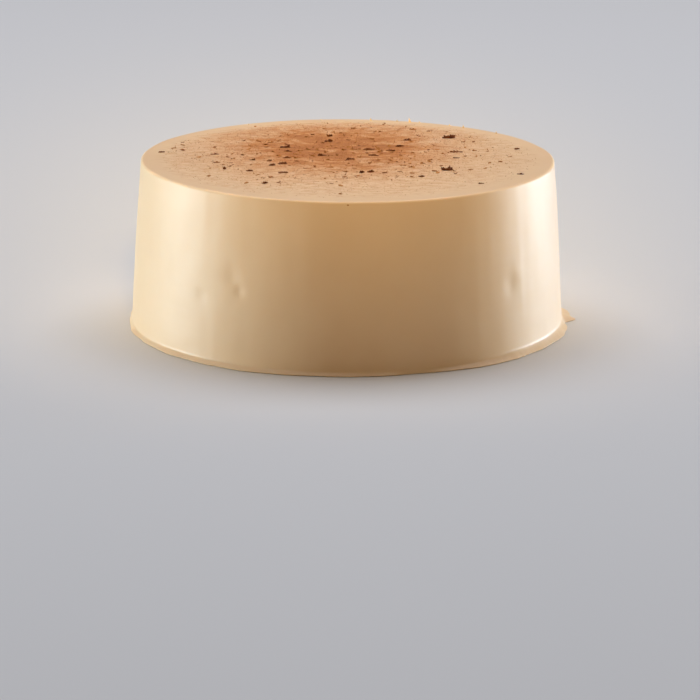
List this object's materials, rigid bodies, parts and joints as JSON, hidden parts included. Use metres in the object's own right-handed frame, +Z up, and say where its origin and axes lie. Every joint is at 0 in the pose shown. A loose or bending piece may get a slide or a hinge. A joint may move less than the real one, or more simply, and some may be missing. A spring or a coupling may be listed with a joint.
{
  "type": "iced coffee cake",
  "caption": "Whole round layer cake, covered smooth in coffee buttercream, with a crisp top edge, an uneven foot of icing and grated chocolate strewn over the top.",
  "frame": {"origin": "middle of the flat underside, on the cake's axis", "axes": "+Z up through the top; -Y towards the front of the cake as pictured, +X to the viewer's right"},
  "size_m": [0.2183, 0.2139, 0.0834],
  "materials": {
    "buttercream": "smooth spread coffee buttercream, pale caramel, satin with a soft sheen",
    "chocolate": "grated dark chocolate, dull and dusty on its broken faces"
  },
  "bodies": {
    "root": {"frosted_cake": "buttercream"}
  },
  "joints": []
}
